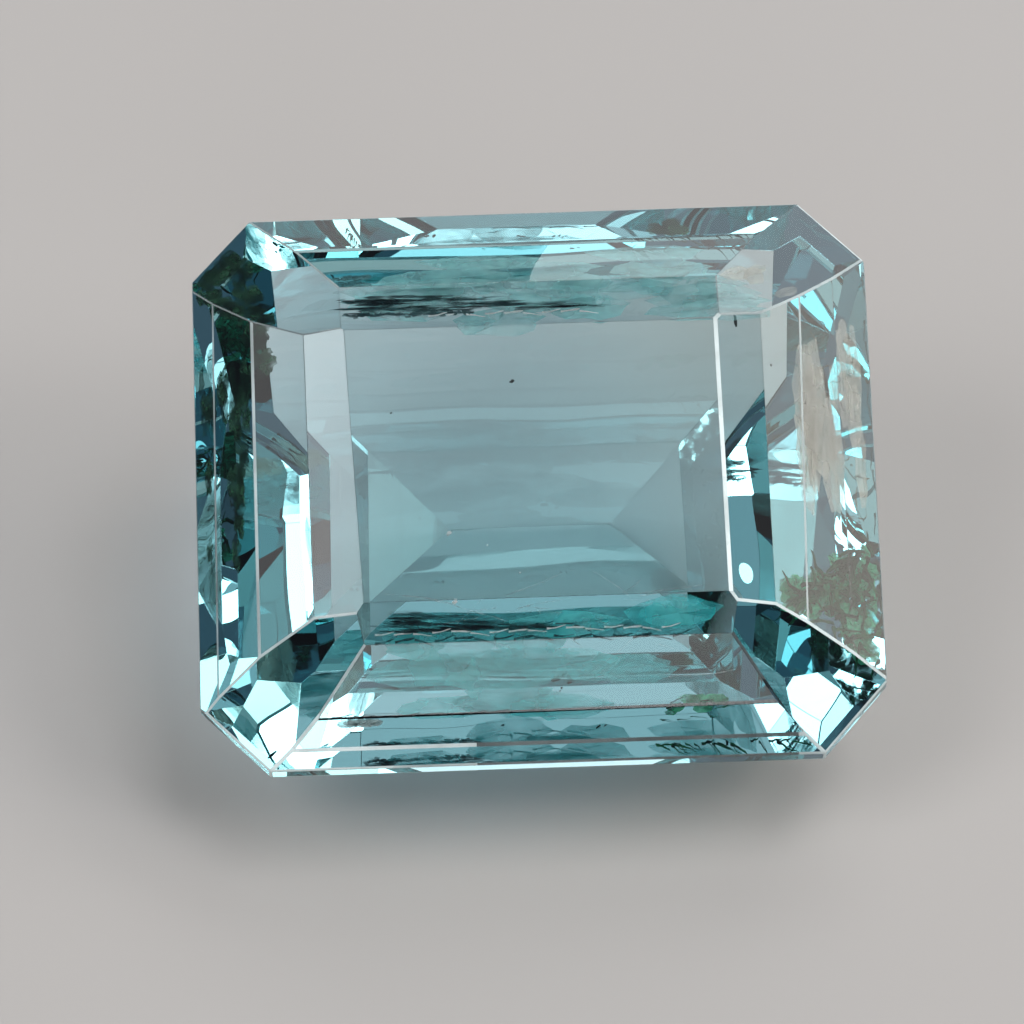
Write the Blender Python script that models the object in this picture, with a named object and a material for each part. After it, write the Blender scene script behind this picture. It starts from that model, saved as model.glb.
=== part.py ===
"""A blue topaz cut as an octagonal step cut, lying on one of its lowest facets.

The stone is ground out of a block, facet after facet, as a cutter does it: the girdle
first, then the steps of the crown, the table, and the steps of the pavilion down to the
keel. While it is cut it stands with its table up and its girdle at height zero. The
finished stone is then tipped over on the near keel facet, the one it comes to rest on.
"""

import math

import bmesh
import bpy
from mathutils import Matrix, Vector

MM = 0.001

# Outline of the girdle, in metres
LENGTH = 12.0 * MM
WIDTH = 10.26 * MM
GIRDLE_THICKNESS = 0.35 * MM

# Heights of the crown above the girdle and of the pavilion below it
CROWN_HEIGHT = 1.34 * MM
PAVILION_DEPTH = 4.525 * MM

# Length of the keel on either side of the stone's middle
KEEL_REACH = {"right": 1.34 * MM, "left": 1.55 * MM}

# The four sides: direction they face, in degrees from +X, and distance of the girdle
SIDE_AZIMUTH = {"right": 0.0, "far": 90.0, "left": 180.0, "near": 270.0}
SIDE_REACH = {"right": LENGTH / 2, "far": WIDTH / 2, "left": LENGTH / 2, "near": WIDTH / 2}

# The four corners: how much each one takes off both sides, and how far its facets are
# turned from the exact diagonal
CORNER_SIDES = {
    "far_right": ("right", "far"),
    "far_left": ("left", "far"),
    "near_left": ("left", "near"),
    "near_right": ("right", "near"),
}
CORNER_CUT = {
    "far_right": 1.13 * MM,
    "far_left": 1.08 * MM,
    "near_left": 1.20 * MM,
    "near_right": 1.20 * MM,
}
CORNER_TURN = {"far_right": 0.0, "far_left": 2.0, "near_left": 0.0, "near_right": 3.0}

# Crown steps of each side, from the girdle up: width seen from above, slope in degrees,
# and how far the step is turned against the girdle, in degrees. The last step runs on to
# the table, so it has no width of its own.
CROWN_STEPS = {
    "right": (
        (0.59 * MM, 30.0, 0.4),
        (0.71 * MM, 28.4, 0.4),
        (0.64 * MM, 27.1, 0.5),
        (0.0, 20.0, 0.6),
    ),
    "left": (
        (0.35 * MM, 32.1, 1.45),
        (0.72 * MM, 29.4, 1.65),
        (0.95 * MM, 25.9, 1.9),
        (0.0, 17.7, 2.5),
    ),
    "far": (
        (0.83 * MM, 33.0, 0.0),
        (0.88 * MM, 30.2, 0.0),
        (0.0, 17.6, 0.0),
    ),
    "near": (
        (0.30 * MM, 36.1, 0.0),
        (0.48 * MM, 32.7, 0.0),
        (1.10 * MM, 29.9, 0.0),
        (0.0, 14.2, 0.0),
    ),
}
CORNER_CROWN_SLOPE = {
    "far_right": 24.4,
    "far_left": 24.3,
    "near_left": 24.5,
    "near_right": 25.6,
}

# Pavilion steps of each side, from the girdle down: slopes in degrees of the girdle
# facet and the middle facet. The keel facets all have one slope.
PAVILION_SLOPES = {
    "right": (60.4, 36.5),
    "left": (62.4, 35.7),
    "far": (62.6, 37.4),
    "near": (64.7, 37.3),
}
# How far the pavilion steps of each side are turned against the girdle, in degrees
PAVILION_TURN = {"right": 1.1, "far": 0.35, "left": -0.85, "near": 0.0}
KEEL_SLOPE = 25.0
KEEL_FACET_WIDTH = {
    "right": 1.30 * MM,
    "left": 1.46 * MM,
    "far": 1.38 * MM,
    "near": 2.10 * MM,
}

# The corners of the pavilion: slopes of their two facets, and how near the lower one
# comes to the stone's middle, along the length
CORNER_PAVILION_SLOPES = (65.4, 42.0)
CORNER_REACH = 3.76 * MM

# The facet that the stone lies on
RESTING_SIDE = "near"

# Block that the stone is ground out of, and how close a point counts as on a cut
BLOCK_SIZE = 20.0 * MM
CUT_TOLERANCE = 0.00001 * MM

# Finish of the polished crystal
TOPAZ_COLOUR = (0.42, 0.72, 0.74, 1.0)
TOPAZ_ROUGHNESS = 0.02
TOPAZ_IOR = 1.62

UPPER_GIRDLE = GIRDLE_THICKNESS / 2
TABLE_HEIGHT = UPPER_GIRDLE + CROWN_HEIGHT
KEEL_HEIGHT = -UPPER_GIRDLE - PAVILION_DEPTH


def slope_ratio(slope):
    """Rise over run of a slope in degrees."""
    return math.tan(math.radians(slope))


def heading(azimuth):
    """Level unit vector that points along an azimuth in degrees."""
    angle = math.radians(azimuth)
    return Vector((math.cos(angle), math.sin(angle), 0.0))


def facet(azimuth, slope, point, faces_up=True):
    """A facet's plane: a point on it and the direction it faces.

    The slope is measured from level: 0 faces straight up or down, 90 is upright.
    """
    tilt = math.radians(slope)
    rise = math.cos(tilt) if faces_up else -math.cos(tilt)
    return point, heading(azimuth) * math.sin(tilt) + Vector((0.0, 0.0, rise))


def girdle_point(place):
    """Middle of a side or of a corner on the girdle, at height zero."""
    if place in SIDE_AZIMUTH:
        return heading(SIDE_AZIMUTH[place]) * SIDE_REACH[place]
    half_cut = CORNER_CUT[place] / 2
    middle = Vector()
    for side in CORNER_SIDES[place]:
        middle += heading(SIDE_AZIMUTH[side]) * (SIDE_REACH[side] - half_cut)
    return middle


def azimuth_of(place):
    """Direction that a side or a corner faces."""
    if place in SIDE_AZIMUTH:
        return SIDE_AZIMUTH[place]
    diagonal = sum((heading(SIDE_AZIMUTH[side]) for side in CORNER_SIDES[place]), Vector())
    return math.degrees(math.atan2(diagonal.y, diagonal.x)) + CORNER_TURN[place]


def girdle_facets():
    """The upright wall all round the stone, eight facets."""
    places = list(SIDE_AZIMUTH) + list(CORNER_SIDES)
    return [facet(azimuth_of(place), 90.0, girdle_point(place)) for place in places]


def crown_side_facets(side):
    """The steps of one crown side, from the girdle up to the table."""
    azimuth = SIDE_AZIMUTH[side]
    inward = -heading(azimuth)
    point = girdle_point(side) + Vector((0.0, 0.0, UPPER_GIRDLE))
    facets = []
    for width, slope, turn in CROWN_STEPS[side]:
        facets.append(facet(azimuth + turn, slope, point))
        point = point + inward * width + Vector((0.0, 0.0, width * slope_ratio(slope)))
    return facets


def crown_corner_facet(corner):
    """The single facet of a crown corner."""
    point = girdle_point(corner) + Vector((0.0, 0.0, UPPER_GIRDLE))
    return facet(azimuth_of(corner), CORNER_CROWN_SLOPE[corner], point)


def keel_point(side):
    """Where the keel facet of a side meets the keel."""
    return heading(SIDE_AZIMUTH[side]) * KEEL_REACH.get(side, 0.0) + Vector((0.0, 0.0, KEEL_HEIGHT))


def keel_facet_edge(side):
    """Where the keel facet of a side ends and its middle facet begins."""
    width = KEEL_FACET_WIDTH[side]
    rise = Vector((0.0, 0.0, width * slope_ratio(KEEL_SLOPE)))
    return keel_point(side) + heading(SIDE_AZIMUTH[side]) * width + rise


def pavilion_side_facets(side):
    """Girdle facet, middle facet and keel facet of one pavilion side."""
    azimuth = SIDE_AZIMUTH[side] + PAVILION_TURN[side]
    girdle_slope, middle_slope = PAVILION_SLOPES[side]
    lower_girdle = girdle_point(side) - Vector((0.0, 0.0, UPPER_GIRDLE))
    return [
        facet(azimuth, girdle_slope, lower_girdle, faces_up=False),
        facet(azimuth, middle_slope, keel_facet_edge(side), faces_up=False),
        facet(azimuth, KEEL_SLOPE, keel_point(side), faces_up=False),
    ]


def corner_meeting_point(corner):
    """Lowest point of a pavilion corner, on the mitre between its two middle facets."""
    end_side, long_side = CORNER_SIDES[corner]
    end_edge = keel_facet_edge(end_side)
    long_edge = keel_facet_edge(long_side)
    end_run = CORNER_REACH - abs(end_edge.x)
    height = end_edge.z + end_run * slope_ratio(PAVILION_SLOPES[end_side][1])
    long_run = (height - long_edge.z) / slope_ratio(PAVILION_SLOPES[long_side][1])
    across = abs(long_edge.y) + long_run
    level = heading(SIDE_AZIMUTH[end_side]) * CORNER_REACH + heading(SIDE_AZIMUTH[long_side]) * across
    return level + Vector((0.0, 0.0, height))


def pavilion_corner_facets(corner):
    """Girdle facet and lower facet of one pavilion corner."""
    azimuth = azimuth_of(corner)
    girdle_slope, lower_slope = CORNER_PAVILION_SLOPES
    lower_girdle = girdle_point(corner) - Vector((0.0, 0.0, UPPER_GIRDLE))
    return [
        facet(azimuth, girdle_slope, lower_girdle, faces_up=False),
        facet(azimuth, lower_slope, corner_meeting_point(corner), faces_up=False),
    ]


def all_facets():
    """Every facet of the stone, in the order of cutting."""
    facets = girdle_facets()
    for side in SIDE_AZIMUTH:
        facets += crown_side_facets(side)
    for corner in CORNER_SIDES:
        facets.append(crown_corner_facet(corner))
    facets.append(facet(0.0, 0.0, Vector((0.0, 0.0, TABLE_HEIGHT))))
    for side in SIDE_AZIMUTH:
        facets += pavilion_side_facets(side)
    for corner in CORNER_SIDES:
        facets += pavilion_corner_facets(corner)
    return facets


def grind(stone, point, outward):
    """Take off what stands in front of a facet's plane, and close the cut flat."""
    parts = stone.verts[:] + stone.edges[:] + stone.faces[:]
    cut = bmesh.ops.bisect_plane(
        stone,
        geom=parts,
        dist=CUT_TOLERANCE,
        plane_co=point,
        plane_no=outward,
        clear_outer=True,
    )
    rim = [part for part in cut["geom_cut"] if isinstance(part, bmesh.types.BMEdge)]
    if rim:
        bmesh.ops.contextual_create(stone, geom=rim)


def lay_down(stone):
    """Tip the stone on its resting facet, with the middle of its base at the origin."""
    near_axis = heading(SIDE_AZIMUTH[RESTING_SIDE])
    tip_axis = Vector((0.0, 0.0, 1.0)).cross(near_axis)
    tip = Matrix.Rotation(math.radians(KEEL_SLOPE), 3, tip_axis)
    bmesh.ops.rotate(stone, cent=Vector(), matrix=tip, verts=stone.verts)
    corners = [vert.co for vert in stone.verts]
    middle_x = (min(c.x for c in corners) + max(c.x for c in corners)) / 2
    middle_y = (min(c.y for c in corners) + max(c.y for c in corners)) / 2
    base = min(c.z for c in corners)
    bmesh.ops.translate(stone, vec=Vector((-middle_x, -middle_y, -base)), verts=stone.verts)


def topaz_material():
    """Polished, see-through pale blue crystal."""
    material = bpy.data.materials.new("blue_topaz")
    material.use_nodes = True
    shader = material.node_tree.nodes["Principled BSDF"]
    shader.inputs["Base Color"].default_value = TOPAZ_COLOUR
    shader.inputs["Roughness"].default_value = TOPAZ_ROUGHNESS
    shader.inputs["Metallic"].default_value = 0.0
    shader.inputs["IOR"].default_value = TOPAZ_IOR
    shader.inputs["Transmission Weight"].default_value = 1.0
    return material


def make_gemstone():
    """The whole stone, one solid."""
    stone = bmesh.new()
    bmesh.ops.create_cube(stone, size=BLOCK_SIZE)
    for point, outward in all_facets():
        grind(stone, point, outward)
    lay_down(stone)
    bmesh.ops.recalc_face_normals(stone, faces=stone.faces)
    mesh = bpy.data.meshes.new("gemstone")
    stone.to_mesh(mesh)
    stone.free()
    mesh.materials.append(topaz_material())
    gemstone = bpy.data.objects.new("gemstone", mesh)
    bpy.context.scene.collection.objects.link(gemstone)
    return gemstone


def clear_scene():
    """Remove whatever the scene holds."""
    for thing in list(bpy.data.objects):
        bpy.data.objects.remove(thing, do_unlink=True)


clear_scene()
make_gemstone()
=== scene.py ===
import math
import random

import bpy
from mathutils import Matrix, Vector


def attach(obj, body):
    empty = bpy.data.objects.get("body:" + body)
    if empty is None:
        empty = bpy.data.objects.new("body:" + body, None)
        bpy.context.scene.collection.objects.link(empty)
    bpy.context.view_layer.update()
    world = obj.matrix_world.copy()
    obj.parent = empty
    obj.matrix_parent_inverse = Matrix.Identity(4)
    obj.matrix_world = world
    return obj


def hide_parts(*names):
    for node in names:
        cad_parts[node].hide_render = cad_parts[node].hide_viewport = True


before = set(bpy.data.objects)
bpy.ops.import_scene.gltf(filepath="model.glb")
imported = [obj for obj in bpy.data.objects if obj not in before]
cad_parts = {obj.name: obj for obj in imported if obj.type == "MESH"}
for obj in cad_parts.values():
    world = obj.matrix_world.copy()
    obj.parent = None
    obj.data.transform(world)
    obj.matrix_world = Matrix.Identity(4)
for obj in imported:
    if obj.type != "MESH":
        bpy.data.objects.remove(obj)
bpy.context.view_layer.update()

MM = 0.001
TO_METRES = Matrix.Diagonal((MM, MM, MM, 1.0))
ROOT = "root"

# The stone as it lies: girdle plane tipped towards the front
LEAN = math.radians(25.0)
STONE_MIDDLE = Vector((0.0, -0.0120 * MM, 4.2596 * MM))

# Topaz
TOPAZ_IOR = 1.62
ABSORPTION_DENSITY = 80.0
ABSORPTION_COLOUR = (0.06, 0.715, 0.78, 1.0)

# Waviness left in the facets by polishing: height, and swells for each metre
SWELL_HEIGHT = 0.013 * MM
SWELL_SCALE = 450.0

# Width of a fully worn edge, the share of it that even a sharp edge has, and the
# narrow faces that round it
EDGE_WIDTH = 0.04 * MM
SHARP_EDGE = 0.06
EDGE_SEGMENTS = 2

# How much finer the holes in a mineral are than its clouds of colour
COVER_FINENESS = 1.7

# The near girdle edge is hardly whitened between these places, in millimetres
SHARP_STRETCH_FRONT = -4.0
SHARP_STRETCH_ENDS = (-1.2, 4.4)
SHARP_STRETCH_CLEARED = 0.8

# Paper: its two tones, and a painted pool of light under the stone, for light come through
# the crystal, in millimetres
PAPER_SHADE = (0.430, 0.408, 0.392, 1.0)
PAPER_LIGHT = (0.470, 0.447, 0.430, 1.0)
PAPER_PAINTED_LIGHT = (0.56, 0.59, 0.61, 1.0)
PAINTED_LIGHT_MIDDLE = (-1.5, 1.5)
PAINTED_LIGHT_RADII = (3.0, 7.0)

# Corners of the solid closer than this are one, and so are facets turned by less
SAME_POINT = 1e-6
SAME_PLANE = math.radians(0.2)

# Inclusions keep this clear of the facets
CLEARANCE = 0.012 * MM

# Height scale of a film, how far grains tip forward, and how level threads lie
FILM_HEIGHT = 0.4
GRAIN_TIP = 0.4
FLATNESS = 0.8

# Seeds of the random draws
MOSS_SEED = 7
CRACK_SEED = 19
FIBRE_SEED = 23

# A facet belongs to the crown where its outward side points up more than this
UPWARD = 0.2

# Wear of the edges whose middle lies between two corners, in millimetres in the
# stone's own frame: right, back and up from the middle of the girdle. A later
# stretch overrides an earlier one.
LOWEST, HIGHEST = -9.0, 9.0
EDGE_WEAR = (
    ((LOWEST, LOWEST, LOWEST), (HIGHEST, HIGHEST, HIGHEST), 0.10),
    ((LOWEST, LOWEST, LOWEST), (HIGHEST, HIGHEST, -0.40), 0.02),
    ((LOWEST, LOWEST, -0.40), (HIGHEST, HIGHEST, 0.25), 0.40),
    # table
    ((LOWEST, LOWEST, 1.45), (HIGHEST, HIGHEST, HIGHEST), 0.03),
    ((3.10, -2.60, 1.45), (3.50, 2.60, 1.60), 0.95),
    # right steps
    ((4.50, -0.50, 0.80), (4.90, 0.50, 1.00), 0.45),
    ((4.00, -0.50, 1.10), (4.20, 0.50, 1.30), 0.02),
    # near steps
    ((-3.00, -4.90, 0.40), (3.00, -3.00, 1.30), 0.00),
    # left steps
    ((-5.10, -0.50, 0.60), (-4.80, 0.50, 1.00), 0.75),
    ((-5.80, -0.50, 0.30), (-5.50, 0.50, 0.50), 0.40),
    # far right corner
    ((3.50, 2.55, 0.30), (5.90, 3.82, 1.45), 0.60),
    ((3.20, 2.90, 1.20), (3.40, 3.10, 1.45), 0.35),
    ((5.00, 4.00, -0.40), (6.00, 5.20, 0.30), 0.90),
    # near right corner
    ((3.30, -3.80, 0.30), (5.90, -2.58, 1.55), 0.70),
    ((3.30, -3.10, 1.35), (3.40, -2.80, 1.45), 0.03),
    ((4.40, -5.20, -0.40), (6.10, -3.90, 0.60), 0.85),
    # near left corner and the near edge of the girdle
    ((-6.10, -4.10, 0.20), (-3.30, -2.60, 1.40), 0.60),
    ((-6.10, -5.20, -0.40), (-4.00, -4.00, 0.60), 0.90),
    ((-0.50, -5.20, -0.40), (0.50, -4.80, 0.50), 0.90),
    # far left corner
    ((-5.00, 3.70, 0.40), (-3.40, 4.90, 1.10), 0.45),
    ((-5.90, 2.40, 0.30), (-3.40, 3.70, 1.40), 0.35),
)

CAMERA_DISTANCE = 114.0 * MM
FOCAL_PIXELS = 6452.0
FRAME_PIXELS = 1024.0
SENSOR_WIDTH = 36.0
CAMERA_SHIFT_PIXELS = (-24.0, -25.0)
CAMERA_TOWARDS = (-0.01136, -0.69448, 0.71942)
CAMERA_UP = (0.0330, 0.71881, 0.69441)


# ---------------------------------------------------------------- shader graph


class Value:
    """A socket that takes part in Python expressions."""

    def __init__(self, graph, socket):
        self.graph = graph
        self.socket = socket

    def math(self, operation, *values):
        """Result of a Math node on these values."""
        return self.graph.math(operation, *values)

    def __add__(self, other):
        return self.math("ADD", self, other)

    def __radd__(self, other):
        return self.math("ADD", other, self)

    def __sub__(self, other):
        return self.math("SUBTRACT", self, other)

    def __rsub__(self, other):
        return self.math("SUBTRACT", other, self)

    def __mul__(self, other):
        return self.math("MULTIPLY", self, other)

    def __rmul__(self, other):
        return self.math("MULTIPLY", other, self)

    def __gt__(self, other):
        return self.math("GREATER_THAN", self, other)

    def __lt__(self, other):
        return self.math("LESS_THAN", self, other)


class Node:
    """A shader node, its outputs ready for expressions."""

    def __init__(self, graph, node):
        self.graph = graph
        self.node = node

    def out(self, name=0):
        """Output socket, by its name or number."""
        return Value(self.graph, self.node.outputs[name])


class Graph:
    """Node tree of one material."""

    def __init__(self, name):
        self.material = bpy.data.materials.new(name)
        self.material.use_nodes = True
        self.tree = self.material.node_tree
        self.tree.nodes.clear()

    def math(self, operation, *values, clamp=False):
        """New Math node."""
        settings = {"operation": operation, "use_clamp": clamp}
        return self.node("ShaderNodeMath", settings, dict(enumerate(values))).out()

    def node(self, kind, settings=None, sockets=None):
        """New node with its settings, and with values or links in its sockets."""
        made = self.tree.nodes.new(kind)
        for key, value in (settings or {}).items():
            if key == "stops":
                ramp = made.color_ramp
                while len(ramp.elements) > 1:
                    ramp.elements.remove(ramp.elements[-1])
                for n, (place, colour) in enumerate(value):
                    stop = ramp.elements[0] if n == 0 else ramp.elements.new(place)
                    stop.position = place
                    stop.color = colour
            else:
                setattr(made, key, value)
        for key, value in (sockets or {}).items():
            if isinstance(value, Value):
                self.tree.links.new(value.socket, made.inputs[key])
            else:
                made.inputs[key].default_value = value
        return Node(self, made)


def blend(g, factor, low, high):
    """Colour between two colours."""
    node = g.node(
        "ShaderNodeMix",
        {"data_type": "RGBA"},
        {0: factor, 6: low, 7: high},
    )
    return node.out(2)


def noise(g, where, scale, detail, roughness=0.5):
    """Soft random pattern between 0 and 1; scale is in cells for each metre."""
    node = g.node(
        "ShaderNodeTexNoise",
        {},
        {"Vector": where, "Scale": scale, "Detail": detail, "Roughness": roughness},
    )
    return node.out(0)


def ramp(g, value, stops):
    """Value or colour along a ramp; stops are (place, grey or colour)."""
    full = [(p, c if isinstance(c, tuple) else (c, c, c, 1.0)) for p, c in stops]
    return g.node("ShaderNodeValToRGB", {"stops": full}, {"Fac": value}).out(0)


def object_place(g, stretch=(1.0, 1.0, 1.0)):
    """Object coordinates; an axis whose stretch is under 1 draws a pattern out."""
    where = g.node("ShaderNodeTexCoord").out("Object")
    return g.node("ShaderNodeMapping", {}, {"Vector": where, "Scale": stretch}).out(0)


def object_axes(g):
    """Object coordinates one by one, in metres."""
    where = g.node("ShaderNodeTexCoord").out("Object")
    split = g.node("ShaderNodeSeparateXYZ", {}, {0: where})
    return split.out(0), split.out(1), split.out(2)


def crystal_body(g):
    """Light lost on its way through the crystal."""
    inside = g.node(
        "ShaderNodeVolumeAbsorption",
        {},
        {"Color": ABSORPTION_COLOUR, "Density": ABSORPTION_DENSITY},
    )
    return inside.out("Volume")


def topaz():
    """Polished crystal, its facets hardly wavy."""
    g = Graph("topaz")
    place = object_place(g)
    swell = noise(g, place, SWELL_SCALE, 0.0)
    wavy = g.node(
        "ShaderNodeBump",
        {},
        {"Strength": 1.0, "Distance": SWELL_HEIGHT, "Height": swell},
    )
    glass = g.node(
        "ShaderNodeBsdfPrincipled",
        {},
        {
            "Base Color": (1.0, 1.0, 1.0, 1.0),
            "Roughness": 0.0,
            "IOR": TOPAZ_IOR,
            "Transmission Weight": 1.0,
            "Normal": wavy.out(0),
        },
    )
    g.node(
        "ShaderNodeOutputMaterial",
        {},
        {"Surface": glass.out(0), "Volume": crystal_body(g)},
    )
    return g.material


def worn_edge():
    """Edge between two facets: clear where it is sharp, whitish where it is worn."""
    g = Graph("worn_edge")
    place = object_place(g)
    x, y, _ = object_axes(g)
    left, right = SHARP_STRETCH_ENDS
    sharp_stretch = (y < SHARP_STRETCH_FRONT * MM) * (x > left * MM) * (x < right * MM)
    along_edge = ramp(g, noise(g, place, 700.0, 4.0), [(0.35, 0.55), (0.6, 1.0)])
    wear = g.node("ShaderNodeAttribute", {"attribute_name": "wear"}).out("Fac")
    frosted = wear * along_edge * (1.0 - sharp_stretch * SHARP_STRETCH_CLEARED)
    relief = noise(g, place, 9000.0, 3.0)
    bump = g.node(
        "ShaderNodeBump",
        {},
        {"Strength": 0.2, "Distance": 0.01 * MM, "Height": relief},
    )
    glass = g.node(
        "ShaderNodeBsdfPrincipled",
        {},
        {
            "Base Color": (1.0, 1.0, 1.0, 1.0),
            "Roughness": frosted * 0.3 + 0.02,
            "IOR": TOPAZ_IOR,
            "Transmission Weight": 1.0,
            "Normal": bump.out(0),
        },
    )
    frost = g.node(
        "ShaderNodeBsdfPrincipled",
        {},
        {
            "Base Color": (0.85, 0.97, 0.97, 1.0),
            "Roughness": 0.5,
            "IOR": TOPAZ_IOR,
            "Normal": bump.out(0),
        },
    )
    mixed = g.node(
        "ShaderNodeMixShader",
        {},
        {0: frosted, 1: glass.out(0), 2: frost.out(0)},
    )
    g.node(
        "ShaderNodeOutputMaterial",
        {},
        {"Surface": mixed.out(0), "Volume": crystal_body(g)},
    )
    return g.material


def matte_material(
    name,
    scale,
    stops,
    roughness,
    cover=None,
    fade=None,
    stretch=(1.0, 1.0, 1.0),
):
    """Dull mineral, also the films of painted light and painted highlight: its colour runs
    through the stops, and cover thins it out.

    A fade (x where it is whole, x where it ends, in millimetres) thins it out along
    the stone.
    """
    g = Graph(name)
    place = object_place(g, stretch)
    cloud = noise(g, place, scale, 1.0)
    sockets = {
        "Base Color": ramp(g, cloud, stops),
        "Roughness": roughness,
        "Specular IOR Level": 0.0,
    }
    if cover:
        thin = ramp(g, noise(g, place, scale * COVER_FINENESS, 2.0, 0.6), cover)
        if fade:
            whole, end = fade
            x, _, _ = object_axes(g)
            left = g.math("DIVIDE", x - end * MM, (whole - end) * MM, clamp=True)
            thin = thin * left
        sockets["Alpha"] = thin
    shader = g.node("ShaderNodeBsdfPrincipled", {}, sockets)
    g.node("ShaderNodeOutputMaterial", {}, {"Surface": shader.out(0)})
    return g.material


def paper():
    """Pale smooth paper, a little cloudy, with a painted pool of light under the stone."""
    g = Graph("pale_paper")
    place = object_place(g)
    tone = noise(g, place, 60.0, 1.0)
    grey = blend(g, tone, PAPER_SHADE, PAPER_LIGHT)
    x, y, _ = object_axes(g)
    # Painted light: the paper turns whiter and bluer under the stone, standing in for
    # light come through the crystal
    right, back = x - PAINTED_LIGHT_MIDDLE[0] * MM, y - PAINTED_LIGHT_MIDDLE[1] * MM
    away = g.math("SQRT", right * right + back * back)
    painted_pool = g.node(
        "ShaderNodeMapRange",
        {"interpolation_type": "SMOOTHSTEP"},
        {"Value": away, 1: PAINTED_LIGHT_RADII[0] * MM, 2: PAINTED_LIGHT_RADII[1] * MM, 3: 1.0, 4: 0.0},
    )
    colour = blend(g, painted_pool.out(0), grey, PAPER_PAINTED_LIGHT)
    shader = g.node(
        "ShaderNodeBsdfPrincipled",
        {},
        {
            "Base Color": colour,
            "Roughness": 0.75,
            "Specular IOR Level": 0.0,
        },
    )
    g.node("ShaderNodeOutputMaterial", {}, {"Surface": shader.out("BSDF")})
    return g.material


# ------------------------------------------------------------------- modelling


def pick(*objects):
    """Select these objects alone, the first of them active."""
    bpy.ops.object.select_all(action="DESELECT")
    for obj in objects:
        obj.select_set(True)
    bpy.context.view_layer.objects.active = objects[0]


def stone_frame():
    """From the stone's own frame to the world, in metres."""
    return Matrix.Translation(STONE_MIDDLE) @ Matrix.Rotation(LEAN, 4, "X")


def wear_at(point):
    """Wear of the edge whose middle is at a point of the world."""
    own = stone_frame().inverted() @ point / MM
    found = 0.0
    for low, high, wear in EDGE_WEAR:
        if all(a <= c <= b for a, c, b in zip(low, own, high)):
            found = wear
    return found


def cut_stone():
    """The faceted crystal, its facets whole again and their edges slightly worn."""
    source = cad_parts["gemstone"]
    stone = source.copy()
    stone.data = source.data.copy()
    stone.name = "topaz_stone"
    stone.parent = None
    # The copy is dressed as a piece of its own, so it drops the CAD node's marks
    for key in list(stone.keys()):
        if key.startswith("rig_"):
            del stone[key]
    bpy.context.scene.collection.objects.link(stone)
    pick(stone)
    bpy.ops.object.mode_set(mode="EDIT")
    bpy.ops.mesh.select_all(action="SELECT")
    bpy.ops.mesh.remove_doubles(threshold=SAME_POINT)
    bpy.ops.mesh.dissolve_limited(angle_limit=SAME_PLANE)
    bpy.ops.object.mode_set(mode="OBJECT")
    mesh = stone.data
    facets = [(face.center.copy(), face.normal.copy()) for face in mesh.polygons]
    weights = mesh.attributes.new("bevel_weight_edge", "FLOAT", "EDGE")
    for edge in mesh.edges:
        first, last = (mesh.vertices[n].co for n in edge.vertices)
        weight = SHARP_EDGE + (1.0 - SHARP_EDGE) * wear_at((first + last) / 2)
        weights.data[edge.index].value = weight
    mesh.materials.clear()
    mesh.materials.append(topaz())
    mesh.materials.append(worn_edge())
    bevel = stone.modifiers.new("worn_edges", "BEVEL")
    bevel.width = EDGE_WIDTH
    bevel.segments = EDGE_SEGMENTS
    bevel.limit_method = "WEIGHT"
    bevel.use_clamp_overlap = False
    bevel.material = 1
    bpy.ops.object.modifier_apply(modifier=bevel.name)
    mesh = stone.data
    worn = mesh.attributes.new("wear", "FLOAT", "FACE")
    for face in mesh.polygons:
        face.use_smooth = False
        worn.data[face.index].value = wear_at(face.center)
    return stone, facets


def unit_grain(seed):
    """A broken mineral grain about two units across."""
    bpy.ops.object.select_all(action="DESELECT")
    bpy.ops.mesh.primitive_ico_sphere_add(subdivisions=2, radius=1.0)
    bpy.ops.object.mode_set(mode="EDIT")
    bpy.ops.mesh.select_all(action="SELECT")
    bpy.ops.transform.resize(value=(1.0, 0.75, 0.6))
    bpy.ops.transform.vertex_random(offset=0.35, uniform=1.0, normal=0.0, seed=seed)
    bpy.ops.mesh.bisect(
        plane_co=(0.0, 0.0, 0.25),
        plane_no=(0.2, 0.3, 1.0),
        use_fill=True,
        clear_outer=True,
    )
    bpy.ops.mesh.select_all(action="SELECT")
    bpy.ops.mesh.normals_make_consistent(inside=False)
    bpy.ops.object.mode_set(mode="OBJECT")
    return bpy.context.object


def unit_flake(seed):
    """A thin curled flake about two units across."""
    bpy.ops.object.select_all(action="DESELECT")
    bpy.ops.mesh.primitive_circle_add(vertices=8, radius=1.0, fill_type="NGON")
    bpy.ops.object.mode_set(mode="EDIT")
    bpy.ops.mesh.select_all(action="SELECT")
    bpy.ops.transform.vertex_random(offset=0.45, uniform=1.0, normal=0.0, seed=seed)
    bpy.ops.mesh.poke()
    bpy.ops.mesh.extrude_region_move(TRANSFORM_OT_translate={"value": (0.0, 0.0, 0.12)})
    bpy.ops.transform.resize(value=(0.8, 0.7, 1.0))
    bpy.ops.mesh.select_all(action="SELECT")
    bpy.ops.mesh.normals_make_consistent(inside=False)
    bpy.ops.object.mode_set(mode="OBJECT")
    return bpy.context.object


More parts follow.
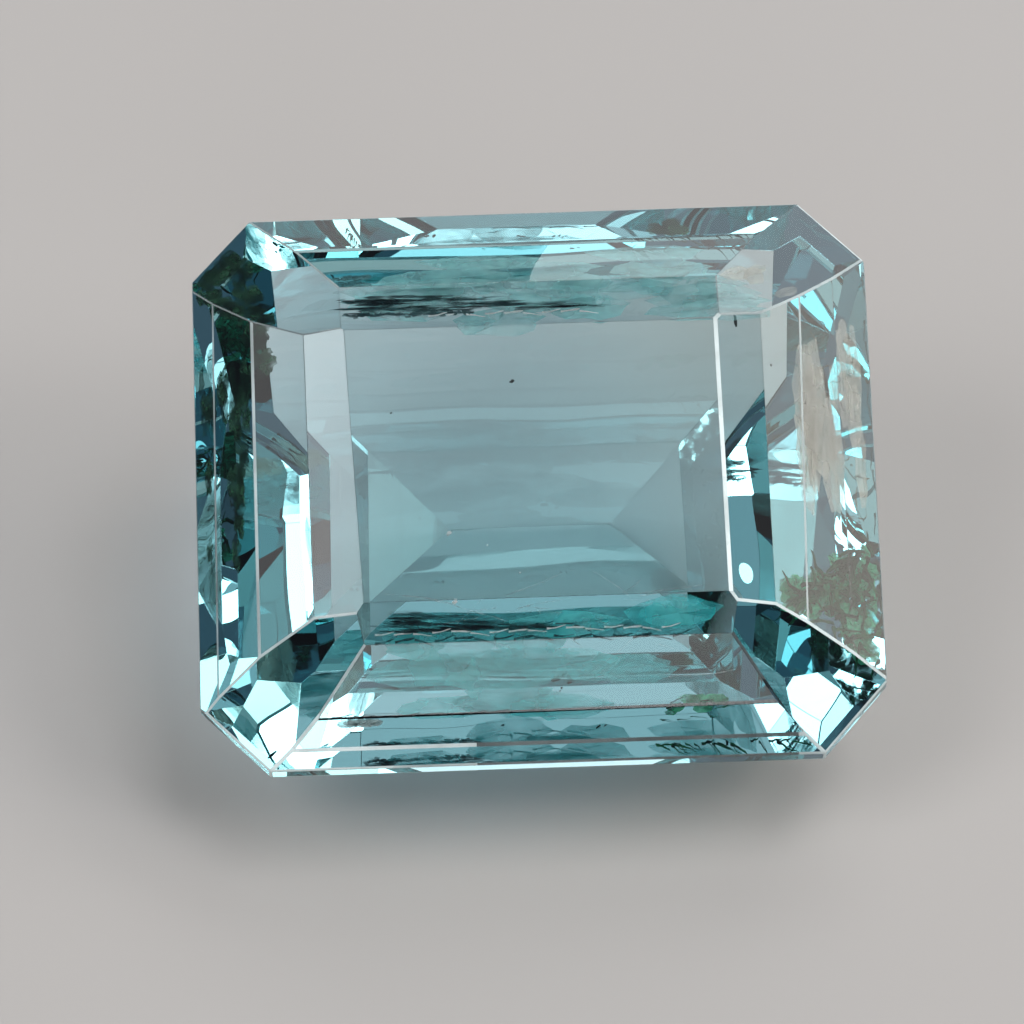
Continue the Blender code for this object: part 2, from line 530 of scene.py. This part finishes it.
def unit_strand(seed, thickness, sway=0.6, steps=7):
    """A crooked tapering thread one unit long."""
    draw = random.Random(seed)
    bpy.ops.object.select_all(action="DESELECT")
    bpy.ops.mesh.primitive_circle_add(vertices=5, radius=thickness, fill_type="NGON")
    bpy.ops.object.mode_set(mode="EDIT")
    bpy.ops.mesh.select_all(action="SELECT")
    drift = Vector((draw.uniform(-sway, sway), draw.uniform(-sway, sway), 0.0))
    for step in range(steps):
        drift += Vector((draw.uniform(-sway, sway), draw.uniform(-sway, sway), 0.0))
        move = (drift.x / steps, drift.y / steps, 1.0 / steps)
        bpy.ops.mesh.extrude_region_move(TRANSFORM_OT_translate={"value": move})
        grow = draw.uniform(0.75, 1.15) if step < steps - 1 else 0.4
        bpy.ops.transform.resize(value=(grow, grow, 1.0))
    bpy.ops.mesh.select_all(action="SELECT")
    bpy.ops.mesh.normals_make_consistent(inside=False)
    bpy.ops.object.mode_set(mode="OBJECT")
    return bpy.context.object


def unit_film(seed):
    """A thin ragged film about two units across, a little wavy."""
    bpy.ops.object.select_all(action="DESELECT")
    bpy.ops.mesh.primitive_circle_add(vertices=14, radius=1.0, fill_type="NGON")
    bpy.ops.object.mode_set(mode="EDIT")
    bpy.ops.mesh.select_all(action="SELECT")
    bpy.ops.transform.vertex_random(offset=0.16, uniform=1.0, normal=0.0, seed=seed)
    bpy.ops.mesh.inset(thickness=0.3)
    bpy.ops.mesh.inset(thickness=0.3)
    bpy.ops.mesh.poke()
    bpy.ops.mesh.select_all(action="SELECT")
    bpy.ops.transform.vertex_random(offset=0.03, uniform=1.0, normal=0.0, seed=seed + 1)
    bpy.ops.mesh.extrude_region_move(TRANSFORM_OT_translate={"value": (0.0, 0.0, 0.02)})
    bpy.ops.mesh.select_all(action="SELECT")
    bpy.ops.mesh.normals_make_consistent(inside=False)
    bpy.ops.object.mode_set(mode="OBJECT")
    return bpy.context.object


def inside(mesh):
    """Whether a mesh lies wholly in the crystal, clear of its facets."""
    for middle, outward in FACETS:
        if any((vertex.co - middle).dot(outward) > -CLEARANCE for vertex in mesh.vertices):
            return False
    return True


def strew(name, masters, places, material):
    """Copies of the masters at their places in the crystal, joined to one inclusion.

    A place is (number of the master, matrix), the matrix in metres. A copy that
    would come out of the crystal is left out.
    """
    copies = []
    for number, matrix in places:
        copy = masters[number % len(masters)].copy()
        copy.data = copy.data.copy()
        copy.data.transform(matrix)
        if inside(copy.data):
            bpy.context.scene.collection.objects.link(copy)
            copies.append(copy)
    pick(*copies)
    if len(copies) > 1:
        bpy.ops.object.join()
    piece = bpy.context.object
    piece.name = name
    piece.data.name = name
    piece.data.materials.clear()
    piece.data.materials.append(material)
    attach(piece, ROOT)


def at(point, size, turn):
    """Matrix that puts a unit master at a point; lengths in millimetres."""
    spin = Matrix.Rotation(turn[2], 4, "Z") @ Matrix.Rotation(turn[1], 4, "Y")
    spin = spin @ Matrix.Rotation(turn[0], 4, "X")
    scale = Matrix.Diagonal((*size, 1.0))
    return TO_METRES @ Matrix.Translation(Vector(point)) @ spin @ scale


def scatter(table):
    """Places of the grains in a table, all tipped forward alike."""
    places = []
    for number, (point, size, turn) in enumerate(table):
        places.append((number, at(point, size, (GRAIN_TIP, 0.0, turn))))
    return places


def along(start, end, width):
    """Matrix that lays a unit strand from start to end, in millimetres."""
    way = end - start
    turn = way.to_track_quat("Z", "Y").to_matrix().to_4x4()
    scale = Matrix.Diagonal((width, width, way.length, 1.0))
    return TO_METRES @ Matrix.Translation(start) @ turn @ scale


def beneath(x, y, depth):
    """Point so far straight down under the crown at x and y, in millimetres."""
    heights = []
    for middle, outward in FACETS:
        if outward.z > UPWARD:
            sideways = (x * MM - middle.x) * outward.x + (y * MM - middle.y) * outward.y
            heights.append(middle.z - sideways / outward.z)
    return Vector((x, y, min(heights) / MM - depth))


def under(x, y, size, depth, spin=0.0):
    """Matrix that lays a unit master flat under the crown facet at x and y.

    All lengths are in millimetres; the master's Z is the facet's outward side and
    its Y runs towards the far side of the stone.
    """
    point = beneath(x, y, 0.0) * MM
    middle, outward = max(FACETS, key=lambda f: (point - f[0]).dot(f[1]))
    point = point - outward * depth * MM
    far = stone_frame().to_3x3() @ Vector((0.0, 1.0, 0.0))
    far = (far - outward * far.dot(outward)).normalized()
    turn = Matrix((far.cross(outward), far, outward)).transposed().to_4x4()
    scale = Matrix.Diagonal((size[0] * MM, size[1] * MM, size[2] * MM, 1.0))
    return Matrix.Translation(point) @ turn @ Matrix.Rotation(spin, 4, "Z") @ scale


def throw(draw, corners):
    """Random place in a triangle."""
    a, b = draw.random(), draw.random()
    if a + b > 1.0:
        a, b = 1.0 - a, 1.0 - b
    p, q, r = (Vector(corner) for corner in corners)
    return tuple(p + (q - p) * a + (r - p) * b)


def within(draw, corners):
    """Random place between two corners."""
    (x0, y0), (x1, y1) = corners
    return draw.uniform(x0, x1), draw.uniform(y0, y1)


def any_way(draw):
    """Random direction, mostly level."""
    across, back, high = (draw.uniform(-1, 1) for _ in range(3))
    return Vector((across, back, high * (1 - FLATNESS))).normalized()


def somewhere(draw, corners):
    """Random place in a triangle, or between two corners."""
    return throw(draw, corners) if len(corners) == 3 else within(draw, corners)


def tangle(draw, count, corners, depth, length, width):
    """Threads under the crown that each run their own way; each range is (low, high)."""
    threads = []
    for number in range(count):
        start = beneath(*somewhere(draw, corners), draw.uniform(*depth))
        end = start + any_way(draw) * draw.uniform(*length)
        threads.append((number, along(start, end, draw.uniform(*width))))
    return threads


def film(draw, number, corners, half_x, half_y, depth, spin=0.0):
    """Place of one film under the crown; each range is (low, high)."""
    lay = (draw.uniform(*half_x), draw.uniform(*half_y), FILM_HEIGHT)
    where = somewhere(draw, corners)
    return number, under(*where, lay, draw.uniform(*depth), spin)


def streaks(draw, start, end, count, sway, depth, width):
    """Threads end to end between two places, each swaying a little off the line."""
    corners = []
    for step in range(count + 1):
        part = step / count
        x = start[0] + (end[0] - start[0]) * part
        y = start[1] + (end[1] - start[1]) * part + draw.uniform(-sway, sway)
        corners.append(beneath(x, y, depth))
    ends = zip(corners, corners[1:])
    return [(number, along(a, b, width)) for number, (a, b) in enumerate(ends)]


# --------------------------------------------------------------------- crystal

stone, FACETS = cut_stone()
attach(stone, ROOT)
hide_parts("gemstone")

# ------------------------------------------------------------------ inclusions

grains = [unit_grain(seed) for seed in (1, 2, 3, 4)]
flakes = [unit_flake(seed) for seed in (11, 12, 13, 14)]
strands = [unit_strand(seed, 0.05) for seed in (21, 22, 23, 24, 25)]
lines = [unit_strand(seed, 0.05, sway=0.08) for seed in (26, 27, 28)]
films = [unit_film(seed) for seed in (31, 32, 33)]
curls = [unit_strand(seed, 0.055, sway=0.34, steps=9) for seed in (41, 42, 43, 44)]
masters = grains + flakes + strands + lines + films + curls

BLACK = matte_material("black_mineral", 8000.0, [(0.3, 0.004), (0.7, 0.03)], 0.6)
PALE = matte_material("pale_mineral", 8000.0, [(0.3, 0.75), (0.7, 0.95)], 0.5)
MOSS = matte_material(
    "mossy_mineral",
    3000.0,
    [
        (0.3, (0.001, 0.020, 0.009, 1.0)),
        (0.5, (0.003, 0.055, 0.024, 1.0)),
        (0.7, (0.012, 0.140, 0.055, 1.0)),
    ],
    0.7,
)
MOSS_GROUND = matte_material(
    "moss_ground",
    2500.0,
    [(0.35, (0.00, 0.28, 0.13, 1.0)), (0.65, (0.12, 0.66, 0.40, 1.0))],
    0.7,
    [(0.32, 0.30), (0.60, 0.90)],
)
DARK_MOSS = matte_material(
    "dark_moss_film",
    2200.0,
    [(0.35, (0.010, 0.045, 0.028, 1.0)), (0.65, (0.060, 0.190, 0.105, 1.0))],
    0.7,
    [(0.36, 0.20), (0.62, 0.85)],
)
STAIN = matte_material(
    "iron_stain",
    700.0,
    [(0.30, (0.84, 0.80, 0.64, 1.0)), (0.60, (0.98, 0.98, 0.88, 1.0))],
    0.7,
    [(0.30, 0.12), (0.70, 0.34)],
)
RUST = matte_material(
    "rust_thread",
    5000.0,
    [(0.35, (0.09, 0.06, 0.03, 1.0)), (0.65, (0.26, 0.20, 0.12, 1.0))],
    0.7,
    [(0.35, 0.3), (0.6, 0.8)],
)
FLUID_STOPS = [(0.35, (0.012, 0.050, 0.060, 1.0)), (0.65, (0.05, 0.14, 0.15, 1.0))]
FLUID = matte_material(
    "fluid_film",
    4200.0,
    FLUID_STOPS,
    0.3,
    [(0.42, 0.0), (0.60, 0.80)],
    (-1.6, 2.2),
    (0.2, 1.0, 1.0),
)
DEEP_FLUID = matte_material(
    "deep_fluid",
    5000.0,
    FLUID_STOPS,
    0.3,
    [(0.42, 0.05), (0.60, 0.90)],
    (-1.8, 1.2),
    (0.06, 1.0, 1.0),
)
DARK_FLUID = matte_material("dark_fluid", 3000.0, FLUID_STOPS, 0.3, [(0.30, 0.3), (0.55, 0.95)])
# Painted light: pale cyan films that brighten the far and the near steps
PAINTED_LIGHT_FAR = matte_material(
    "painted_light_far",
    900.0,
    [(0.35, (0.36, 0.88, 0.90, 1.0)), (0.65, (0.50, 0.97, 0.98, 1.0))],
    0.7,
    [(0.34, 0.16), (0.66, 0.46)],
)
PAINTED_LIGHT_NEAR = matte_material(
    "painted_light_near",
    900.0,
    [(0.35, (0.08, 0.80, 0.84, 1.0)), (0.65, (0.20, 0.95, 0.97, 1.0))],
    0.7,
    [(0.34, 0.14), (0.66, 0.44)],
)
# Painted highlight: near-white films that stand in for a lamp's reflection
PAINTED_HIGHLIGHT = matte_material(
    "painted_highlight_films",
    1200.0,
    [(0.30, (0.80, 0.96, 0.96, 1.0)), (0.70, (0.95, 1.00, 1.00, 1.0))],
    0.7,
    [(0.30, 0.45), (0.60, 0.85)],
)
FIBRE = matte_material(
    "white_fibre", 5000.0, [(0.3, 0.6), (0.7, 0.9)], 0.6, [(0.35, 0.05), (0.65, 0.4)]
)

# Black grains, places in millimetres: (place, size, turn)
BLACK_GRAINS = (
    ((-1.79, 4.112, 6.300), (0.050, 0.030, 0.030), 0.2),
    ((-1.66, 4.112, 6.305), (0.045, 0.035, 0.030), 1.1),
    ((-0.16, 4.030, 6.315), (0.035, 0.025, 0.025), 0.4),
    ((-0.09, 4.015, 6.305), (0.070, 0.018, 0.020), -0.2),
    ((0.48, 3.990, 6.318), (0.030, 0.022, 0.02), 0.3),
    ((0.58, 3.998, 6.322), (0.035, 0.016, 0.02), 0.9),
    ((0.70, 3.980, 6.310), (0.030, 0.018, 0.02), 0.1),
    ((0.64, 3.960, 6.300), (0.020, 0.015, 0.02), 0.5),
    ((-0.367, 1.030, 5.770), (0.045, 0.035, 0.030), 0.5),
    ((0.21, -3.600, 3.205), (0.075, 0.050, 0.050), 0.2),
    ((0.26, -3.560, 3.260), (0.035, 0.030, 0.030), 1.2),
    ((0.36, -3.540, 3.275), (0.060, 0.040, 0.040), 0.8),
    ((0.44, -3.580, 3.230), (0.055, 0.045, 0.040), 2.2),
    ((0.45, -3.640, 3.150), (0.040, 0.030, 0.030), 0.1),
    ((0.31, -3.700, 3.080), (0.030, 0.022, 0.022), 1.7),
    ((0.28, -3.730, 3.040), (0.018, 0.018, 0.020), 0.7),
    ((-0.73, -4.077, 2.595), (0.030, 0.020, 0.020), 0.3),
    ((0.93, -4.120, 2.525), (0.060, 0.020, 0.030), 0.8),
    ((1.05, -4.110, 2.535), (0.035, 0.015, 0.020), 0.6),
    ((-2.507, 0.376, 5.788), (0.022, 0.018, 0.018), 0.4),
    ((4.147, 1.249, 5.796), (0.028, 0.020, 0.020), 1.5),
)
# One long dash beside the far right corner of the table
DASH = (1, at((3.547, 1.93, 6.22), (0.028, 0.14, 0.03), (0.44, 0.0, 0.12)))
strew("black_grains", grains, scatter(BLACK_GRAINS) + [DASH], BLACK)

# White grains and chips
WHITE_GRAINS = (
    ((-1.493, -2.769, 4.300), (0.045, 0.035, 0.030), 0.3),
    ((-0.31, -3.381, 3.606), (0.030, 0.070, 0.030), 0.2),
    ((-1.56, -1.30, 4.33), (0.060, 0.050, 0.040), 0.9),
    ((-0.9, -1.9, 4.75), (0.020, 0.020, 0.020), 0.9),
    ((-0.35, -2.35, 4.50), (0.018, 0.018, 0.020), 0.9),
)
strew("white_grains", grains, scatter(WHITE_GRAINS), PALE)

# Moss at the near right end: threads over a pale green ground, with a few along the
# near edge and in an oval beside it
draw = random.Random(MOSS_SEED)
MOSS_END = ((5.90, -1.30), (4.15, -2.72), (5.90, -3.30))
MOSS_OVAL = ((2.00, -4.32), (3.10, -4.14))
MOSS_RIM = ((1.90, -4.44), (4.50, -4.38))
MOSS_RIM_HEIGHT = 2.30
MOSS_OVAL_DEPTH = 0.15
END_THREADS, RIM_THREADS, OVAL_THREADS = 110, 30, 14
END_PATCHES, OVAL_PATCHES = 90, 9
threads = tangle(draw, END_THREADS, MOSS_END, (0.06, 0.20), (0.25, 0.55), (0.6, 1.0))
for number in range(RIM_THREADS):
    start = Vector((*within(draw, MOSS_RIM), MOSS_RIM_HEIGHT))
    end = start + Vector((draw.uniform(0.1, 0.4), draw.uniform(-0.03, 0.05), 0.0))
    threads.append((number, along(start, end, draw.uniform(0.3, 0.6))))
for number in range(OVAL_THREADS):
    start = beneath(*within(draw, MOSS_OVAL), MOSS_OVAL_DEPTH)
    end = start + Vector((draw.uniform(0.1, 0.3), draw.uniform(0.0, 0.1), 0.05))
    threads.append((number, along(start, end, draw.uniform(0.15, 0.3))))
strew("moss_threads", curls, threads, MOSS)

patches = []
for number in range(END_PATCHES):
    size = draw.uniform(0.12, 0.26)
    where = throw(draw, MOSS_END)
    lay = (size, size * 0.7, size)
    depth = draw.uniform(0.22, 0.45)
    patches.append((number, under(*where, lay, depth, draw.uniform(0, 3))))
for number in range(OVAL_PATCHES):
    size = draw.uniform(0.10, 0.22)
    where = within(draw, MOSS_OVAL)
    patches.append((number, under(*where, (size, size * 0.5, size), 0.1)))
strew("moss_ground", films, patches, MOSS_GROUND)

# Dark green clouds behind the far left corner, the left steps and the far edge
DARK_PATCHES = (
    # corners of a triangle, number of films, half size, how much longer than wide
    (((-5.95, 3.45), (-5.28, 4.20), (-4.62, 2.20)), 60, 0.16, 1.3),
    (((-5.95, 3.45), (-5.50, 2.90), (-4.60, 2.10)), 40, 0.15, 1.3),
    (((-5.30, 2.75), (-4.80, 2.40), (-4.62, 1.40)), 30, 0.10, 1.6),
    (((-5.30, 2.75), (-4.85, 1.40), (-4.62, 1.30)), 24, 0.09, 1.6),
    (((-5.60, 1.80), (-5.00, 1.60), (-5.30, -1.60)), 50, 0.09, 4.5),
    (((-5.90, 1.80), (-5.65, 1.60), (-5.80, -1.20)), 24, 0.06, 5.0),
    (((2.20, 3.98), (2.75, 4.25), (2.80, 3.95)), 34, 0.13, 1.3),
)
moss_and_light_films = []
for corners, count, half, stretch in DARK_PATCHES:
    for number in range(count):
        size = half * draw.uniform(0.6, 1.2)
        lay = (size, size * stretch, FILM_HEIGHT)
        where = throw(draw, corners)
        spin = draw.uniform(-1.3, 1.3) / stretch ** 2
        moss_and_light_films.append((number, under(*where, lay, draw.uniform(0.03, 0.15), spin)))
strew("moss_clouds", films, moss_and_light_films, DARK_MOSS)

# Beige stains with rusty threads along the right steps and the far right corner
# Corners of a box, ranges of the two half sizes and of the depth, spin
RIGHT_STEP = (((4.72, -0.50), (5.35, 1.30)), (0.10, 0.22), (0.7, 1.2), (0.05, 0.20), 0.0)
RIGHT_RIM = (((5.50, -0.30), (5.85, 1.90)), (0.08, 0.15), (0.6, 1.0), (0.04, 0.12), 0.0)
FAR_RIGHT = (((3.60, 2.20), (5.00, 3.00)), (0.15, 0.36), (0.10, 0.22), (0.04, 0.12), 0.4)
SIDE_STAINS, CORNER_STAINS = 26, 12
stains = []
for number in range(SIDE_STAINS):
    stains.append(film(draw, number, *RIGHT_STEP))
    stains.append(film(draw, number, *RIGHT_RIM))
stains += [film(draw, number, *FAR_RIGHT) for number in range(CORNER_STAINS)]
strew("iron_stain", films, stains, STAIN)

RUSTY_END = ((4.90, -1.40), (5.80, 2.20))
RUST_THREADS = 70
rust = tangle(draw, RUST_THREADS, RUSTY_END, (0.06, 0.25), (0.1, 0.3), (0.15, 0.4))
strew("rust_threads", strands, rust, RUST)

# Fluid-filled cracks under the far steps, with a row of small squares at their edge
draw = random.Random(CRACK_SEED)
FAR_VEIL = ((-3.10, 2.02), (-2.90, 2.46), (2.10, 2.02))
FAR_FILMS = 60
SQUARES = 30
SQUARES_START = (-3.25, 1.97)
SQUARES_LENGTH = 2.3
fluid_and_highlight_films = []
for number in range(FAR_FILMS):
    size = draw.uniform(0.10, 0.24)
    where = throw(draw, FAR_VEIL)
    lay = (size * 2.6, size * 0.20, size)
    fluid_and_highlight_films.append((number, under(*where, lay, draw.uniform(0.05, 0.2))))
strew("fluid_veil", films, fluid_and_highlight_films, FLUID)
cracks = []
for number in range(SQUARES):
    x = SQUARES_START[0] + SQUARES_LENGTH * number / SQUARES
    y = SQUARES_START[1] + draw.uniform(-0.02, 0.02)
    size = draw.uniform(0.035, 0.060)
    cracks.append((number, under(x, y, (size * 1.3, size, size * 0.5), 0.10)))
strew("fluid_cracks", flakes, cracks, FLUID)

# The deep crack under the near steps: a dark wedge that runs out in streaks
WEDGE_CORNERS = ((-2.36, -3.05), (-2.72, -3.36), (0.30, -3.36))
WEDGE = (WEDGE_CORNERS, (0.22, 0.50), (0.012, 0.035), (0.10, 0.25), -0.06)
WEDGE_FILMS = 52
wedge = [film(draw, number, *WEDGE) for number in range(WEDGE_FILMS)]
strew("deep_crack", films, wedge, DEEP_FLUID)

# Cracks seen edge on: start, end, number of threads, sway, depth, width
DARK_LINES = (
    ((-2.90, -3.40), (2.60, -3.42), 16, 0.03, 0.16, 0.50),
    ((-1.10, -3.20), (1.90, -3.30), 9, 0.05, 0.20, 0.35),
    ((-3.70, -4.20), (-0.60, -4.19), 8, 0.01, 0.12, 0.30),
    ((5.93, 3.30), (5.93, -1.10), 12, 0.0, 0.12, 0.50),
)
BRIGHT_LINES = (
    ((-2.90, -3.34), (2.40, -3.36), 16, 0.02, 0.08, 0.40),
    ((-1.80, 1.93), (1.20, 1.93), 9, 0.01, 0.10, 0.45),
)
dark_lines = [piece for line in DARK_LINES for piece in streaks(draw, *line)]
strew("dark_streaks", lines, dark_lines, DARK_FLUID)
bright_lines = [piece for line in BRIGHT_LINES for piece in streaks(draw, *line)]
strew("bright_streaks", lines, bright_lines, PALE)

# Pale films in the far and the near steps: painted light that brightens and tints those
# steps
FAR_STEPS = (((-3.2, 1.90), (3.2, 3.60)), (0.7, 1.3), (0.18, 0.32), (0.2, 0.6))
NEAR_STEPS = (((-2.6, -4.25), (2.9, -3.1)), (0.6, 1.1), (0.16, 0.32), (0.2, 0.6))
FAR_LIGHT_FILMS, NEAR_LIGHT_FILMS = 24, 22
moss_and_light_films = [film(draw, number, *FAR_STEPS) for number in range(FAR_LIGHT_FILMS)]
strew("painted_light_far_films", films, moss_and_light_films, PAINTED_LIGHT_FAR)
moss_and_light_films = [film(draw, number, *NEAR_STEPS) for number in range(NEAR_LIGHT_FILMS)]
strew("painted_light_near_films", films, moss_and_light_films, PAINTED_LIGHT_NEAR)

# White films in the near left corner: a painted highlight, standing in for a lamp's
# reflection
HIGHLIGHT_FILMS = 5
HIGHLIGHT_START, HIGHLIGHT_STEP, HIGHLIGHT_BACK = -3.45, 0.12, -4.32
HIGHLIGHT_SIZE = (0.16, 0.07, FILM_HEIGHT)
HIGHLIGHT_DEPTH = 0.10
fluid_and_highlight_films = []
for number in range(HIGHLIGHT_FILMS):
    x = HIGHLIGHT_START + HIGHLIGHT_STEP * number
    fluid_and_highlight_films.append((number, under(x, HIGHLIGHT_BACK, HIGHLIGHT_SIZE, HIGHLIGHT_DEPTH)))
strew("painted_highlight_films", films, fluid_and_highlight_films, PAINTED_HIGHLIGHT)

# Fine fibres crossing the near half
draw = random.Random(FIBRE_SEED)
FIBRE_FIELD = ((-2.0, -3.9), (2.6, -2.6))
FIBRES = 40
FIBRE_REACH = (1.0, 0.35, 0.2)
fibres = []
for number in range(FIBRES):
    start = beneath(*within(draw, FIBRE_FIELD), draw.uniform(0.3, 0.7))
    across, back, high = (draw.uniform(-reach, reach) for reach in FIBRE_REACH)
    end = start + Vector((across, back, high)).normalized() * draw.uniform(0.3, 1.3)
    fibres.append((number, along(start, end, draw.uniform(0.08, 0.20))))
strew("white_fibres", strands, fibres, FIBRE)

pick(*masters)
bpy.ops.object.delete()

# ---------------------------------------------------------------------- studio

FLOOR_SIZE = 2.0
FLOOR_GAP = 0.02 * MM
LAMP_DISTANCE = 0.5
# Watts for each square metre of a lamp of brightness 1
LAMP_WATTS = 4.0

bpy.ops.object.select_all(action="DESELECT")
bpy.ops.mesh.primitive_plane_add(size=FLOOR_SIZE, location=(0, 0, -FLOOR_GAP))
bpy.ops.object.transform_apply(location=True)
floor = bpy.context.object
floor.name = "floor"
floor.data.materials.append(paper())


def softbox(name, azimuth, elevation, half_width, half_height, brightness, colour):
    """A lamp that shines at the stone.

    Angles are in degrees: the azimuth goes clockwise from the back, as seen from
    above, and half_width and half_height are the lamp's as seen from the stone.
    """
    a, e = math.radians(azimuth), math.radians(elevation)
    way = Vector((math.sin(a) * math.cos(e), math.cos(a) * math.cos(e), math.sin(e)))
    width = 2 * LAMP_DISTANCE * math.tan(math.radians(half_width))
    height = 2 * LAMP_DISTANCE * math.tan(math.radians(half_height))
    bpy.ops.object.light_add(type="AREA", location=way * LAMP_DISTANCE)
    lamp = bpy.context.object
    lamp.name = name
    lamp.data.shape = "RECTANGLE"
    lamp.data.size = width
    lamp.data.size_y = height
    lamp.data.energy = brightness * width * height * LAMP_WATTS
    lamp.data.color = colour
    lamp.rotation_mode = "QUATERNION"
    lamp.rotation_quaternion = way.to_track_quat("Z", "Y")


WARM = (1.05, 1.0, 0.92)
WHITE = (1.0, 1.0, 1.0)
# Name, azimuth, elevation, half width, half height, brightness, colour
LAMPS = (
    ("right_key", 96, 29, 16.5, 19.0, 2.2, WARM),
    ("right_high", 117, 41, 9.1, 10.9, 3.7, WHITE),
    ("right_fill", 94, 52, 8.0, 5.0, 0.25, WHITE),
    ("right_top", 120, 57, 6.0, 5.0, 0.6, WHITE),
    ("left_back", 272, 39, 4.0, 4.0, 0.9, WHITE),
    ("back_low", 0, 20, 30.0, 13.0, 1.1, WHITE),
    ("left_key", 246, 49, 13.5, 13.5, 2.9, WHITE),
    ("left_low", 240, 29, 6.2, 5.5, 1.95, WHITE),
    ("high_lamp", 91, 71, 13.3, 9.3, 4.0, WHITE),
    ("overhead", 184, 78, 26.0, 22.0, 0.38, WHITE),
    ("back_key", 24, 45, 19.0, 11.0, 1.9, WHITE),
    ("front_low", 179, 31, 9.1, 10.8, 1.4, WHITE),
    ("back_right", 61, 49, 7.3, 6.7, 1.2, WHITE),
)
for lamp in LAMPS:
    softbox(*lamp)

WORLD_COLOUR = (0.085, 0.105, 0.135, 1.0)
world = bpy.data.worlds.new("studio")
bpy.context.scene.world = world
world.use_nodes = True
sky = world.node_tree.nodes["Background"]
sky.inputs["Color"].default_value = WORLD_COLOUR
sky.inputs["Strength"].default_value = 1.0

bpy.ops.object.camera_add()
camera = bpy.context.object
camera.name = "camera"
towards = Vector(CAMERA_TOWARDS).normalized()
right = Vector(CAMERA_UP).cross(towards).normalized()
up = towards.cross(right).normalized()
camera.data.sensor_width = SENSOR_WIDTH
camera.data.lens = SENSOR_WIDTH * FOCAL_PIXELS / FRAME_PIXELS
place = STONE_MIDDLE + towards * CAMERA_DISTANCE
camera.matrix_world = Matrix(
    (
        (right.x, up.x, towards.x, place.x),
        (right.y, up.y, towards.y, place.y),
        (right.z, up.z, towards.z, place.z),
        (0, 0, 0, 1),
    )
)
camera.data.shift_x = CAMERA_SHIFT_PIXELS[0] / FRAME_PIXELS
camera.data.shift_y = CAMERA_SHIFT_PIXELS[1] / FRAME_PIXELS
camera.data.clip_start = 0.001
camera.data.clip_end = 10.0
bpy.context.scene.camera = camera

# Light is thrown to and fro in the crystal, so it may bounce often
BOUNCES = 8
cycles = bpy.context.scene.cycles
cycles.max_bounces = BOUNCES
cycles.diffuse_bounces = 2
cycles.glossy_bounces = BOUNCES
cycles.transmission_bounces = BOUNCES
cycles.transparent_max_bounces = 10
bpy.context.scene.view_settings.view_transform = "Standard"
